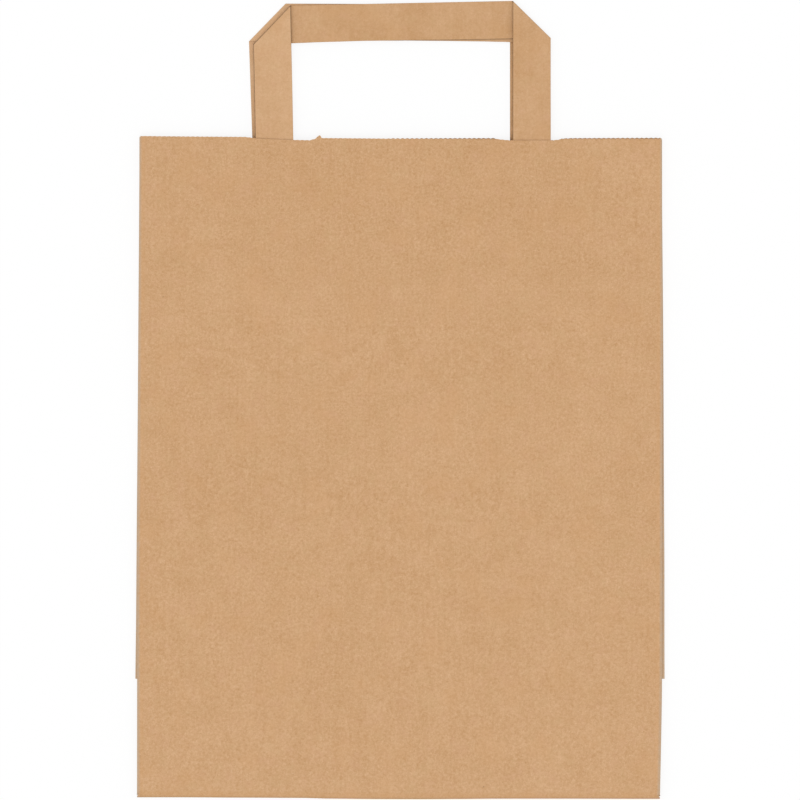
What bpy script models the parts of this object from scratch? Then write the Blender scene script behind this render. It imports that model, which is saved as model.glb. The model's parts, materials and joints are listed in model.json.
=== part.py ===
"""Paper carrier bag, folded flat and lying on its back, plain side up.

The sack is one sheet: a glued tube with two side gussets and a block bottom, folded up behind it.
Two folded strip handles reach into its mouth, each held under a patch on the inside of its panel.
X runs across the bag, Y from the bottom fold to the handles, Z up from the surface it lies on.
"""
import math

import bmesh
import bpy
from mathutils import Matrix, Vector

# Driving sizes of the sack, in metres
PANEL_WIDTH = 0.220
GUSSET_DEPTH = 0.1008
SACK_HEIGHT = 0.2778
PAPER = 0.00012
FRONT_FLAP_DEPTH = 0.060
REAR_FLAP_DEPTH = 0.058
SEAM_WIDTH = 0.018
SEAM_INSET = 0.004
SEAM_TUCK = 0.004

# How the folded sheet lies
SHEET_GAP = 0.0002
PIECE_GAP = 0.0003
MIDDLE_AIR = 0.0008
SIDE_FOLD_REACH = 0.0005
CREASE_SPREAD = 0.0013
MOUTH_DRAW_IN = 0.0003
WRAP_NOSE = 0.00035
PINHOLE = 0.0012
CREASE_THINNING = 0.00001
LAP = 0.0003
CREASE_SEAT = 0.00005
FLAP_INSET = 0.0002
GLUE_SINK = 0.00001

# Handles: folded strips, and the patches that hold their ends
STRIP_WIDTH = 0.0159
STRIP_THICKNESS = 0.00036
STRIP_PLY_GAP = 0.00012
HANDLE_PITCH = 0.1082
HANDLE_RISE = 0.0487
LEG_TUCK = 0.050
PATCH_WIDTH = 0.150
PATCH_HEIGHT = 0.056
PATCH_DROP = 0.004

# How each handle leans: shift, extra rise left and right, and lean of the left leg's top
FRONT_LEAN = {"shift": 0.00115, "rise_left": -0.0011, "rise_right": 0.0012, "top_left": -0.0008}
REAR_LEAN = {"shift": -0.0002, "rise_left": 0.0, "rise_right": -0.0006, "top_left": -0.0012}

# The mouth's cut: teeth, and how far each panel's edge stands above or below the nominal height
TOOTH_PITCH = 0.002
REAR_TOOTH_DEPTH = 0.0003
FRONT_TOOTH_DEPTH = 0.00012
FRONT_EDGE = (
    (-0.1100, 0.00084), (-0.0650, 0.00046), (-0.0595, -0.00025), (-0.0450, -0.00080),
    (-0.0380, -0.00095), (-0.0345, 0.00000), (-0.0060, -0.00025), (0.0410, -0.00050),
    (0.0460, -0.00100), (0.0640, -0.00100), (0.0690, -0.00040), (0.1100, -0.00038),
)
REAR_EDGE = ((-0.1100, -0.00005), (0.0400, -0.00005), (0.1100, 0.00020))

# Where the stack's height changes along the bag
SLOPE_MARGIN = 0.004
FOLDED_SLOPE = 0.046
MOUTH_SLOPE = 0.046
MOUTH_CLEARANCE = 0.003
LOOP_SLOPE = 0.023
FOLDED_END = GUSSET_DEPTH + SLOPE_MARGIN
MIDDLE_START = FOLDED_END + FOLDED_SLOPE
MOUTH_START = SACK_HEIGHT - PATCH_DROP - PATCH_HEIGHT - SLOPE_MARGIN
MIDDLE_END = MOUTH_START - MOUTH_SLOPE
MOUTH_END = SACK_HEIGHT + MOUTH_CLEARANCE
LOOP_START = MOUTH_END + LOOP_SLOPE
SLOPE_CUTS = 6
FOLD_SEGMENTS = 7
MILLIMETRES = 1000.0
CUT_DISTANCE = 0.0000001
MERGE_DISTANCE = 0.000001
FLAT_ANGLE = 0.002

# Finish of the paper
KRAFT = (0.605, 0.367, 0.191, 1.0)
KRAFT_STRIP = (0.625, 0.385, 0.203, 1.0)
KRAFT_ROUGHNESS = 0.86


def stacked(plies):
    """Heights (low, high) of each ply in a stack given as (name, thickness, gap below)."""
    heights = {}
    top = 0.0
    for name, thickness, gap in plies:
        low = top + gap
        top = low + thickness
        heights[name] = (low, top)
    return heights


BOTTOM_PLIES = [
    ("flap_lap", PAPER, 0.0),
    ("flaps", PAPER, 0.0),
    ("base", PAPER, 0.0),
    ("gusset_bottom", PAPER, SHEET_GAP),
    ("gusset_turned", PAPER, SHEET_GAP),
    ("rear_turned", PAPER, SHEET_GAP),
]
DRAWN = stacked(BOTTOM_PLIES + [
    ("rear", PAPER, SHEET_GAP),
    ("rear_leg", STRIP_THICKNESS, PIECE_GAP),
    ("rear_grip", STRIP_THICKNESS, STRIP_PLY_GAP),
    ("rear_patch", PAPER, PIECE_GAP),
    ("gusset_rear", PAPER, PIECE_GAP),
    ("gusset_front", PAPER, SHEET_GAP),
    ("front_patch", PAPER, PIECE_GAP),
    ("front_grip", STRIP_THICKNESS, PIECE_GAP),
    ("front_leg", STRIP_THICKNESS, STRIP_PLY_GAP),
    ("front", PAPER, PIECE_GAP),
])
FOLDED = stacked(BOTTOM_PLIES + [
    ("rear", PAPER, SHEET_GAP),
    ("gusset_rear", PAPER, SHEET_GAP),
    ("gusset_front", PAPER, SHEET_GAP),
    ("front", PAPER, SHEET_GAP),
])
MIDDLE = stacked([
    ("rear", PAPER, PAPER),
    ("gusset_rear", PAPER, SHEET_GAP),
    ("gusset_front", PAPER, SHEET_GAP + MIDDLE_AIR),
    ("front", PAPER, SHEET_GAP),
])
MOUTH = stacked([
    ("rear", PAPER, PAPER),
    ("rear_leg", STRIP_THICKNESS, PIECE_GAP),
    ("rear_patch", PAPER, PIECE_GAP),
    ("gusset_rear", PAPER, PIECE_GAP),
    ("gusset_front", PAPER, SHEET_GAP),
    ("front_patch", PAPER, PIECE_GAP),
    ("front_leg", STRIP_THICKNESS, PIECE_GAP),
    ("front", PAPER, PIECE_GAP),
])
LOOPS = stacked([
    ("rear_leg", STRIP_THICKNESS, 0.0),
    ("rear_grip", STRIP_THICKNESS, STRIP_PLY_GAP),
    ("front_grip", STRIP_THICKNESS, PIECE_GAP),
    ("front_leg", STRIP_THICKNESS, STRIP_PLY_GAP),
])
STATIONS = ((FOLDED_END, FOLDED), (MIDDLE_START, MIDDLE), (MIDDLE_END, MIDDLE),
            (MOUTH_START, MOUTH), (MOUTH_END, MOUTH), (LOOP_START, LOOPS))


def settled_height(z, heights):
    """Height of a drawn level once the plies lie as in one station of the bag."""
    knots = []
    for name, (low, high) in heights.items():
        knots.append((DRAWN[name][0], low))
        knots.append((DRAWN[name][1], high))
    if z <= knots[0][0]:
        return knots[0][1] + z - knots[0][0]
    for (z_low, low), (z_high, high) in zip(knots, knots[1:]):
        if z <= z_high:
            return low + (high - low) * (z - z_low) / (z_high - z_low)
    return knots[-1][1] + z - knots[-1][0]


def smooth_share(value, start, end):
    """Share from 0 to 1 between two places, level at both ends."""
    share = min(1.0, max(0.0, (value - start) / (end - start)))
    return share * share * (3.0 - 2.0 * share)


def settle_height(y, z):
    """Height of a drawn point after the stack has come to rest at its place along the bag."""
    height = settled_height(z, STATIONS[0][1])
    for (start, _), (end, heights) in zip(STATIONS, STATIONS[1:]):
        share = smooth_share(y, start, end)
        if share > 0.0:
            height += share * (settled_height(z, heights) - height)
    return height


def front_side(y):
    """Half width of the front panel at a height above the bottom fold."""
    return PANEL_WIDTH / 2 - MOUTH_DRAW_IN * y / SACK_HEIGHT


def rear_side(y):
    """Half width of the rear panel, which stands out at its crease and narrows to the mouth."""
    crease = GUSSET_DEPTH / 2
    share = (y - crease) / (SACK_HEIGHT - crease)
    return PANEL_WIDTH / 2 + CREASE_SPREAD * (1.0 - share) - MOUTH_DRAW_IN * share


def turned_side(y):
    """Half width of the rear panel's turned-up end, from its crease to the far edge of the bottom."""
    crease = GUSSET_DEPTH / 2
    return PANEL_WIDTH / 2 + CREASE_SPREAD * (GUSSET_DEPTH - y) / (GUSSET_DEPTH - crease)


def slope_lines():
    """Places along the bag where every piece is divided so that all plies bend alike."""
    lines = []
    for (start, low), (end, high) in zip(STATIONS, STATIONS[1:]):
        if low is not high:
            lines += [start + (end - start) * step / SLOPE_CUTS for step in range(SLOPE_CUTS + 1)]
    return lines


def mesh_object(name, mesh, collection):
    """New object that holds a mesh, in a collection."""
    item = bpy.data.objects.new(name, mesh)
    collection.objects.link(item)
    return item


def extruded_outline(name, points, thickness, matrix, collection):
    """Closed solid of a flat outline, centred on its plane and then placed by a matrix."""
    curve = bpy.data.curves.new(name, "CURVE")
    curve.dimensions = "2D"
    curve.fill_mode = "BOTH"
    curve.extrude = thickness / 2 * MILLIMETRES
    spline = curve.splines.new("POLY")
    spline.points.add(len(points) - 1)
    for point, (x, y) in zip(spline.points, points):
        point.co = (x * MILLIMETRES, y * MILLIMETRES, 0.0, 1.0)
    spline.use_cyclic_u = True
    holder = mesh_object(name + "_outline", curve, collection)
    bpy.context.view_layer.update()
    evaluated = holder.evaluated_get(bpy.context.evaluated_depsgraph_get())
    mesh = bpy.data.meshes.new_from_object(evaluated)
    bpy.data.objects.remove(holder)
    bpy.data.curves.remove(curve)
    mesh.transform(matrix @ Matrix.Diagonal((1 / MILLIMETRES, 1 / MILLIMETRES, 1 / MILLIMETRES, 1.0)))
    solid = bmesh.new()
    solid.from_mesh(mesh)
    bmesh.ops.remove_doubles(solid, verts=solid.verts, dist=CUT_DISTANCE)
    bmesh.ops.recalc_face_normals(solid, faces=solid.faces)
    solid.to_mesh(mesh)
    solid.free()
    return mesh_object(name, mesh, collection)


def plate(name, points, ply, collection, sink=0.0):
    """Flat ply of paper in one of the stack's layers; sink lets it run into the layer above."""
    low, high = DRAWN[ply]
    high += sink
    place = Matrix.Translation((0, 0, (low + high) / 2))
    return extruded_outline(name, points, high - low, place, collection)


def fold_section(reach, low, high, thickness):
    """Outline of a turned-over crease: a half ellipse with two straight tails, nose at zero."""
    centre = CREASE_SEAT - reach
    along = -centre - thickness / 2
    half_height = (high - low) / 2
    middle = (high + low) / 2
    sides = []
    for offset in (thickness / 2, -thickness / 2):
        side = [(-reach - LAP, middle - half_height - offset)]
        for step in range(FOLD_SEGMENTS + 1):
            angle = math.pi * (step / FOLD_SEGMENTS - 0.5)
            normal = Vector((math.cos(angle) / along, math.sin(angle) / half_height)).normalized()
            side.append((centre + along * math.cos(angle) + offset * normal.x,
                         middle + half_height * math.sin(angle) + offset * normal.y))
        side.append((-reach - LAP, middle + half_height + offset))
        sides.append(side)
    return sides[0] + sides[1][::-1]


def fold(name, start, end, nose, reach, low_ply, high_ply, collection, sheet=PAPER):
    """Crease between two plies along a line, its nose pointing away from both plies."""
    thickness = sheet - 2 * CREASE_THINNING
    low = sum(DRAWN[low_ply]) / 2
    high = sum(DRAWN[high_ply]) / 2
    section = fold_section(reach, low, high, thickness)
    start = Vector((start[0], start[1], 0.0))
    end = Vector((end[0], end[1], 0.0))
    upward = Vector((0.0, 0.0, 1.0))
    outward = (end - start).cross(upward).normalized()
    if outward.dot(Vector((nose[0], nose[1], 0.0))) < 0.0:
        outward = -outward
    across = outward.cross(upward)
    turn = Matrix((outward, upward, across)).transposed().to_4x4()
    place = Matrix.Translation((start + end) / 2) @ turn
    return extruded_outline(name, section, (end - start).length, place, collection)


def joined(name, solids, collection):
    """One closed solid made of overlapping ones."""
    first = solids[0]
    others = bpy.data.collections.new(name + "_plies")
    for solid in solids[1:]:
        others.objects.link(solid)
    union = first.modifiers.new("join", "BOOLEAN")
    union.operation = "UNION"
    union.operand_type = "COLLECTION"
    union.collection = others
    union.solver = "EXACT"
    bpy.context.view_layer.update()
    evaluated = first.evaluated_get(bpy.context.evaluated_depsgraph_get())
    mesh = bpy.data.meshes.new_from_object(evaluated)
    for solid in solids:
        bpy.data.objects.remove(solid)
    bpy.data.collections.remove(others)
    merge_flat_faces(mesh)
    return mesh_object(name, mesh, collection)


def merge_flat_faces(mesh):
    """Join the coplanar faces and the doubled points that a union leaves."""
    solid = bmesh.new()
    solid.from_mesh(mesh)
    bmesh.ops.remove_doubles(solid, verts=solid.verts, dist=MERGE_DISTANCE)
    bmesh.ops.dissolve_degenerate(solid, edges=solid.edges, dist=MERGE_DISTANCE)
    bmesh.ops.dissolve_limit(solid, angle_limit=FLAT_ANGLE, verts=solid.verts, edges=solid.edges)
    solid.to_mesh(mesh)
    solid.free()


def settle(item):
    """Divide a drawn piece along the bag's slopes and lay its points at their resting heights."""
    solid = bmesh.new()
    solid.from_mesh(item.data)
    for line in slope_lines():
        parts = solid.verts[:] + solid.edges[:] + solid.faces[:]
        bmesh.ops.bisect_plane(solid, geom=parts, dist=CUT_DISTANCE,
                               plane_co=(0, line, 0), plane_no=(0, 1, 0))
    for vertex in solid.verts:
        vertex.co.z = settle_height(vertex.co.y, vertex.co.z)
    solid.to_mesh(item.data)
    solid.free()


def edge_height(x, edge):
    """Height of the mouth's cut edge at a place across the panel."""
    for (x_low, low), (x_high, high) in zip(edge, edge[1:]):
        if x <= x_high:
            break
    share = (x - x_low) / (x_high - x_low)
    return SACK_HEIGHT + low + (high - low) * share


def toothed_edge(left, right, edge, depth):
    """Points of a saw-toothed cut from right to left."""
    count = 2 * round((right - left) / TOOTH_PITCH)
    points = []
    for step in range(count + 1):
        x = right + (left - right) * step / count
        points.append((x, edge_height(x, edge) - (depth if step % 2 else 0.0)))
    return points


def fold_reach(low_ply, high_ply):
    """Reach of a crease's nose: half the height that it spans where the bottom is folded up."""
    return (FOLDED[high_ply][1] - FOLDED[low_ply][0]) / 2


def flap_outline(half_width, start, depth):
    """Trapezoid of a bottom flap: its sides run in at 45 degrees from its fold."""
    run = abs(depth)
    return [(-half_width, start), (half_width, start),
            (half_width - run, start + depth), (-half_width + run, start + depth)]


def panels(workshop):
    """Front and rear panels, the rear one's turned-up end and the seam along its back."""
    tight = fold_reach("gusset_turned", "rear_turned")
    start = fold_reach("base", "front")
    crease = GUSSET_DEPTH / 2 + fold_reach("rear_turned", "rear")
    turned_end = GUSSET_DEPTH - fold_reach("base", "rear_turned")
    foot = front_side(start) - SIDE_FOLD_REACH
    mouth = front_side(SACK_HEIGHT) - SIDE_FOLD_REACH
    rear_foot = rear_side(crease) - SIDE_FOLD_REACH
    low = turned_side(crease) - tight
    high = turned_side(turned_end) - tight
    front_cut = toothed_edge(-mouth, mouth, FRONT_EDGE, FRONT_TOOTH_DEPTH)
    rear_cut = toothed_edge(-mouth, mouth, REAR_EDGE, REAR_TOOTH_DEPTH)
    return [
        plate("front_panel", [(-foot, start), (foot, start)] + front_cut, "front", workshop),
        plate("rear_panel", [(-rear_foot, crease), (rear_foot, crease)] + rear_cut, "rear", workshop),
        plate("turned_end", [(-low, crease), (low, crease), (high, turned_end), (-high, turned_end)],
              "rear_turned", workshop),
        seam_ply(mouth - SEAM_INSET, workshop),
    ]


def seam_ply(side, workshop):
    """Outer ply of the sack's lengthwise seam, glued along the back of the rear panel."""
    start = GUSSET_DEPTH - SEAM_TUCK
    end = SACK_HEIGHT - 2 * REAR_TOOTH_DEPTH
    outline = [(side - SEAM_WIDTH, start), (side, start), (side, end), (side - SEAM_WIDTH, end)]
    centre = DRAWN["rear"][0] - PAPER / 2 + GLUE_SINK
    return extruded_outline("seam_ply", outline, PAPER, Matrix.Translation((0, 0, centre)), workshop)


def bottom(workshop):
    """Glued block bottom, folded flat: its base ply and the two flaps that lap over each other."""
    side = PANEL_WIDTH / 2 - fold_reach("base", "gusset_bottom")
    start = fold_reach("base", "front")
    end = GUSSET_DEPTH - fold_reach("base", "rear_turned")
    front_start = start + FLAP_INSET
    rear_start = end - FLAP_INSET
    half = PANEL_WIDTH / 2
    lap_start = GUSSET_DEPTH - REAR_FLAP_DEPTH
    lap_low = lap_start - PAPER
    front_depth = lap_start - front_start + GLUE_SINK
    return [
        plate("base_ply", [(-side, start), (side, start), (side, end), (-side, end)], "base", workshop),
        plate("rear_flap", flap_outline(half - GUSSET_DEPTH + rear_start, rear_start, lap_start - rear_start),
              "flaps", workshop, GLUE_SINK),
        plate("front_flap", flap_outline(half - front_start, front_start, front_depth),
              "flaps", workshop, GLUE_SINK),
        plate("flap_lap", flap_outline(half - lap_low, lap_low, FRONT_FLAP_DEPTH - lap_low),
              "flap_lap", workshop, GLUE_SINK),
    ]


def gusset(side, workshop):
    """Plies of one side gusset: its two halves, the turned corner and the bottom triangle."""
    half = PANEL_WIDTH / 2
    crease = GUSSET_DEPTH / 2
    tight = fold_reach("gusset_rear", "gusset_front")
    steep = fold_reach("gusset_bottom", "gusset_front")
    outer = half - SIDE_FOLD_REACH
    inner = half - crease + tight
    turned = half - tight
    mouth = front_side(SACK_HEIGHT) - SIDE_FOLD_REACH
    low_run = steep * math.sqrt(2)
    high_run = tight * math.sqrt(2)
    far = GUSSET_DEPTH - high_run
    fold_line = crease + tight
    front_cut = side_cut(side, inner, mouth, FRONT_EDGE)
    rear_cut = side_cut(side, inner, mouth, REAR_EDGE)
    front_half = [(inner, half - inner + low_run), (outer, half - outer + low_run)]
    rear_half = [(inner, fold_line), (rear_side(fold_line) - SIDE_FOLD_REACH, fold_line)]
    corner = [(turned_side(fold_line) - tight, fold_line), (turned, far - tight),
              (half - far + fold_line, fold_line)]
    triangle = [(turned, tight + low_run), (turned, far - tight),
                (half - (far - low_run) / 2, (far + low_run) / 2)]
    name = "right_" if side > 0 else "left_"
    return [
        plate(name + "front_half", placed(front_half, side) + front_cut, "gusset_front", workshop),
        plate(name + "rear_half", placed(rear_half, side) + rear_cut, "gusset_rear", workshop),
        plate(name + "corner", placed(corner, side), "gusset_turned", workshop),
        plate(name + "triangle", placed(triangle, side), "gusset_bottom", workshop),
    ]


def placed(points, side):
    """Outline drawn on the right, moved to the given side."""
    return [(side * x, y) for x, y in points]


def side_cut(side, inner, outer, edge):
    """Mouth edge of a gusset half, from its outer end to its inner one."""
    if side > 0:
        return toothed_edge(inner, outer, edge, REAR_TOOTH_DEPTH)
    return toothed_edge(-outer, -inner, edge, REAR_TOOTH_DEPTH)[::-1]


def cross_folds(workshop):
    """Creases that run across the bag: bottom edge, far edge of the bottom and rear crease."""
    reach = PANEL_WIDTH / 2 - SIDE_FOLD_REACH - PIECE_GAP
    crease = GUSSET_DEPTH / 2
    return [
        fold("bottom_edge", (-reach, 0), (reach, 0), (0, -1), fold_reach("base", "front"),
             "base", "front", workshop),
        fold("far_edge", (-reach, GUSSET_DEPTH), (reach, GUSSET_DEPTH), (0, 1),
             fold_reach("base", "rear_turned"), "base", "rear_turned", workshop),
        fold("rear_crease", (-reach, crease), (reach, crease), (0, -1),
             fold_reach("rear_turned", "rear"), "rear_turned", "rear", workshop),
    ]


def side_folds(side, workshop):
    """Creases of one side: panel edges, gusset centre, wrapped crease and the two diagonals."""
    half = PANEL_WIDTH / 2
    crease = GUSSET_DEPTH / 2
    inner = half - crease
    tight = fold_reach("gusset_rear", "gusset_front")
    steep = fold_reach("gusset_bottom", "gusset_front")
    step = PINHOLE / 2
    low_corner = tight + steep * math.sqrt(2)
    far_corner = GUSSET_DEPTH - tight * (1 + math.sqrt(2)) - step
    above_crease = crease + tight + step
    front_foot = SIDE_FOLD_REACH + steep * math.sqrt(2) + step
    front_top = edge_height(side * half, FRONT_EDGE) - REAR_TOOTH_DEPTH
    rear_top = edge_height(side * half, REAR_EDGE) - REAR_TOOTH_DEPTH
    out = (side, 0)
    name = "right_" if side > 0 else "left_"

    def along(first, last, nose, reach, low_ply, high_ply, label):
        """Crease between two places drawn on the right, moved to this side."""
        ends = placed((first, last), side)
        return fold(name + label, ends[0], ends[1], nose, reach, low_ply, high_ply, workshop)

    diagonal_end = crease - PINHOLE
    low_start = tight + steep / math.sqrt(2) + PINHOLE
    high_start = tight + tight / math.sqrt(2) + PINHOLE
    wrap_y = crease - WRAP_NOSE
    return [
        along((front_side(front_foot), front_foot), (front_side(front_top), front_top), out,
              SIDE_FOLD_REACH, "gusset_front", "front", "front_side"),
        along((rear_side(above_crease), above_crease), (rear_side(rear_top), rear_top), out,
              SIDE_FOLD_REACH, "rear", "gusset_rear", "rear_side"),
        along((inner, crease + tight + PINHOLE), (inner, min(front_top, rear_top)), (-side, 0), tight,
              "gusset_rear", "gusset_front", "centre"),
        along((turned_side(above_crease), above_crease), (turned_side(far_corner), far_corner), out, tight,
              "gusset_turned", "rear_turned", "turned_side"),
        along((half, low_corner + step), (half, far_corner), out, tight,
              "base", "gusset_bottom", "base_side"),
        along((inner + PINHOLE, wrap_y), (half - SIDE_FOLD_REACH - PIECE_GAP, wrap_y), (0, -1),
              fold_reach("gusset_turned", "gusset_rear"), "gusset_turned", "gusset_rear", "wrap"),
        along((half - low_start, low_start), (half - diagonal_end, diagonal_end), (-side, -1), steep,
              "gusset_bottom", "gusset_front", "low_diagonal"),
        along((half - high_start, GUSSET_DEPTH - high_start),
              (half - diagonal_end, GUSSET_DEPTH - diagonal_end),
              (-side, 1), tight, "gusset_bottom", "gusset_turned", "high_diagonal"),
    ]


def sack(workshop, parts):
    """The whole folded sheet as one closed solid, open at its mouth."""
    solids = panels(workshop) + bottom(workshop) + cross_folds(workshop)
    for side in (1, -1):
        solids += gusset(side, workshop)
        solids += side_folds(side, workshop)
    body = joined("bag_body", solids, parts)
    settle(body)
    return body


def strip_leg(foot, corner, run, width, inset):
    """Outline of a leg up to its diagonal fold, and the fold's two ends, outer and inner."""
    up = (corner - foot).normalized()
    crease = (up + run).normalized()
    across = abs(up.cross(crease))
    reach = crease * (width / 2 / across)
    outer = corner - reach
    inner = corner + reach
    square = Vector((-up.y, up.x))
    if square.dot(outer - corner) < 0:
        square = -square
    back = up * (inset / across)
    outline = [foot + square * width / 2, outer - back, inner - back, foot - square * width / 2]
    return outline, outer, inner, run * (inset / across)


def handle(name, lean, leg_ply, grip_ply, workshop, parts):
    """Strip handle: two legs and a grip in one flat strip, folded over at 45 degrees twice."""
    reach = STRIP_THICKNESS + STRIP_PLY_GAP / 2
    foot = SACK_HEIGHT - LEG_TUCK
    top = SACK_HEIGHT + HANDLE_RISE
    left = lean["shift"] - HANDLE_PITCH / 2
    right = lean["shift"] + HANDLE_PITCH / 2
    left_corner = Vector((left + lean["top_left"], top + lean["rise_left"]))
    right_corner = Vector((right, top + lean["rise_right"]))
    run = (right_corner - left_corner).normalized()
    left_leg, left_outer, left_inner, left_back = strip_leg(
        Vector((left, foot)), left_corner, run, STRIP_WIDTH, reach)
    right_leg, right_outer, right_inner, right_back = strip_leg(
        Vector((right, foot)), right_corner, -run, STRIP_WIDTH, reach)
    grip = [left_outer + left_back, right_outer + right_back,
            right_inner + right_back, left_inner + left_back]
    low_ply, high_ply = sorted((leg_ply, grip_ply), key=lambda ply: DRAWN[ply][0])
    solids = [plate(name + "_grip", grip, grip_ply, workshop)]
    for leg, outer, inner, side in ((left_leg, left_outer, left_inner, -1),
                                    (right_leg, right_outer, right_inner, 1)):
        crease = (inner - outer).normalized()
        nose = Vector((side, 1.0))
        nose -= crease * nose.dot(crease)
        solids.append(plate(name + "_leg", leg, leg_ply, workshop))
        solids.append(fold(name + "_turn", outer + crease * reach, inner - crease * reach, nose, reach,
                           low_ply, high_ply, workshop, STRIP_THICKNESS))
    strip = joined(name, solids, parts)
    settle(strip)
    return strip


def patch(name, ply, workshop, parts):
    """Paper patch glued over a handle's two feet on the inside of its panel."""
    top = SACK_HEIGHT - PATCH_DROP
    outline = [(-PATCH_WIDTH / 2, top - PATCH_HEIGHT), (PATCH_WIDTH / 2, top - PATCH_HEIGHT),
               (PATCH_WIDTH / 2, top), (-PATCH_WIDTH / 2, top)]
    sheet = plate(name, outline, ply, workshop)
    workshop.objects.unlink(sheet)
    parts.objects.link(sheet)
    settle(sheet)
    return sheet


def kraft(name, colour):
    """Matt brown kraft paper."""
    material = bpy.data.materials.new(name)
    material.use_nodes = True
    shader = material.node_tree.nodes["Principled BSDF"]
    shader.inputs["Base Color"].default_value = colour
    shader.inputs["Roughness"].default_value = KRAFT_ROUGHNESS
    shader.inputs["Metallic"].default_value = 0.0
    return material


def stand_on_origin(items):
    """Hang every piece on one empty that puts the bag's bottom centre at the origin."""
    corners = [item.matrix_world @ vertex.co for item in items for vertex in item.data.vertices]
    low = [min(corner[axis] for corner in corners) for axis in range(3)]
    high = [max(corner[axis] for corner in corners) for axis in range(3)]
    root = bpy.data.objects.new("bag_root", None)
    bpy.context.scene.collection.objects.link(root)
    root.location = (-(low[0] + high[0]) / 2, -(low[1] + high[1]) / 2, -low[2])
    for item in items:
        item.parent = root


def main():
    """Build the carrier bag."""
    for item in list(bpy.data.objects):
        bpy.data.objects.remove(item)
    parts = bpy.data.collections.new("paper_carrier_bag")
    workshop = bpy.data.collections.new("plies")
    bpy.context.scene.collection.children.link(parts)
    bpy.context.scene.collection.children.link(workshop)
    pieces = {
        sack(workshop, parts): KRAFT,
        handle("front_handle", FRONT_LEAN, "front_leg", "front_grip", workshop, parts): KRAFT_STRIP,
        handle("rear_handle", REAR_LEAN, "rear_leg", "rear_grip", workshop, parts): KRAFT_STRIP,
        patch("front_handle_patch", "front_patch", workshop, parts): KRAFT,
        patch("rear_handle_patch", "rear_patch", workshop, parts): KRAFT,
    }
    for piece, colour in pieces.items():
        piece.data.materials.append(kraft(piece.name + "_paper", colour))
    stand_on_origin(pieces)
    bpy.context.view_layer.update()


main()
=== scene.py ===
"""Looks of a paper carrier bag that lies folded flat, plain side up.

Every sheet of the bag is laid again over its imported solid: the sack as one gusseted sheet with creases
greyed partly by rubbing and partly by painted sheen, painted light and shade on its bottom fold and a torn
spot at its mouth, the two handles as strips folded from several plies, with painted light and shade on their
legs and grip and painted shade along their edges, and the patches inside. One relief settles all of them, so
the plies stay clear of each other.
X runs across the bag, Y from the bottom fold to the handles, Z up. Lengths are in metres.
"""

import json
import logging
import math
from dataclasses import dataclass, replace
from enum import Enum
from typing import Callable, Optional, Union

import bpy
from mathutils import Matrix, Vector, noise

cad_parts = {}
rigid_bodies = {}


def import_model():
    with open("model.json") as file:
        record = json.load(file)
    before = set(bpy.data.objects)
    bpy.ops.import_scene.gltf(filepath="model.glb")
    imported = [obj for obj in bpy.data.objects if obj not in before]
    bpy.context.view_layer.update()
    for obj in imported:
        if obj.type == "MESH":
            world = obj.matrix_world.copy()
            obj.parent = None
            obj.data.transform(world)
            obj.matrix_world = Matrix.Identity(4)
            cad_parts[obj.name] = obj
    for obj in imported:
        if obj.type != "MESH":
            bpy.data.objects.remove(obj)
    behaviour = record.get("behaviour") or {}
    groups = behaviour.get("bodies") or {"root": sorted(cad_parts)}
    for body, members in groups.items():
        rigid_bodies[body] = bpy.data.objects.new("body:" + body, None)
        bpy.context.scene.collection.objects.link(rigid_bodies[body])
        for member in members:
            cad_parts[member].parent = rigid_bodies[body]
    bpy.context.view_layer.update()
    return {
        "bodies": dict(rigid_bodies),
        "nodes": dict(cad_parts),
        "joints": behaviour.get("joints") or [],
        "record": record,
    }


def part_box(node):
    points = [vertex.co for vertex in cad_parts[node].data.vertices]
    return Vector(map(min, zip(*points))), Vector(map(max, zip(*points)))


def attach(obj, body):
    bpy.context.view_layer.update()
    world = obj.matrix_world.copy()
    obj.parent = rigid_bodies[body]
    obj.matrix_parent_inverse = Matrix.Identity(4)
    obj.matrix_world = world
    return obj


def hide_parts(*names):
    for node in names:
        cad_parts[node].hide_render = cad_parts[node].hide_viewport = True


LOG = logging.getLogger("paper_carrier_bag")

Number = Union[int, float]
Colour = tuple[float, float, float]
Span = tuple[float, float]
Knots = tuple[tuple[float, float], ...]

MILLIMETRE = 0.001
HALF_WIDTH = 0.110

# The photograph's frame, and where its pixels lie on the bag
PHOTO_PIXELS = 800
METRES_PER_PIXEL = 0.00042
PHOTO_CENTRE = (-0.0001, 0.0)


class Slot(Enum):
    """Finish slots of the bag's record."""

    SHEET = "kraft_paper"
    STRIP = "kraft_strip"


class Side(Enum):
    """Left or right leg of a handle, as a sign along X."""

    LEFT = -1
    RIGHT = 1


def smooth_share(value: float, start: float, end: float) -> float:
    """Share from 0 to 1 of the way between two values, level at both ends.

    Args:
        value: Where the share is wanted.
        start: Value with a share of 0.
        end: Value with a share of 1.

    Returns:
        The eased share.
    """
    share = straight_share(value, start, end)
    return share * share * (3.0 - 2.0 * share)


def eased(value: float, span: Span) -> float:
    """Eased share from 0 to 1 of the way through a span."""
    return smooth_share(value, span[0], span[1])


def straight_share(value: float, start: float, end: float) -> float:
    """Share from 0 to 1 of the way between two values, in a straight line."""
    return min(1.0, max(0.0, (value - start) / (end - start)))


def stepped(value: float, knots: Knots) -> float:
    """Eased height of a row of knots at a value.

    Args:
        value: Place along the row.
        knots: Pairs of place and height, in rising order of place.

    Returns:
        The height, level before the first knot and after the last.
    """
    height = knots[0][1]
    for (start, _), (end, target) in zip(knots, knots[1:]):
        height += smooth_share(value, start, end) * (target - height)
    return height


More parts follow.
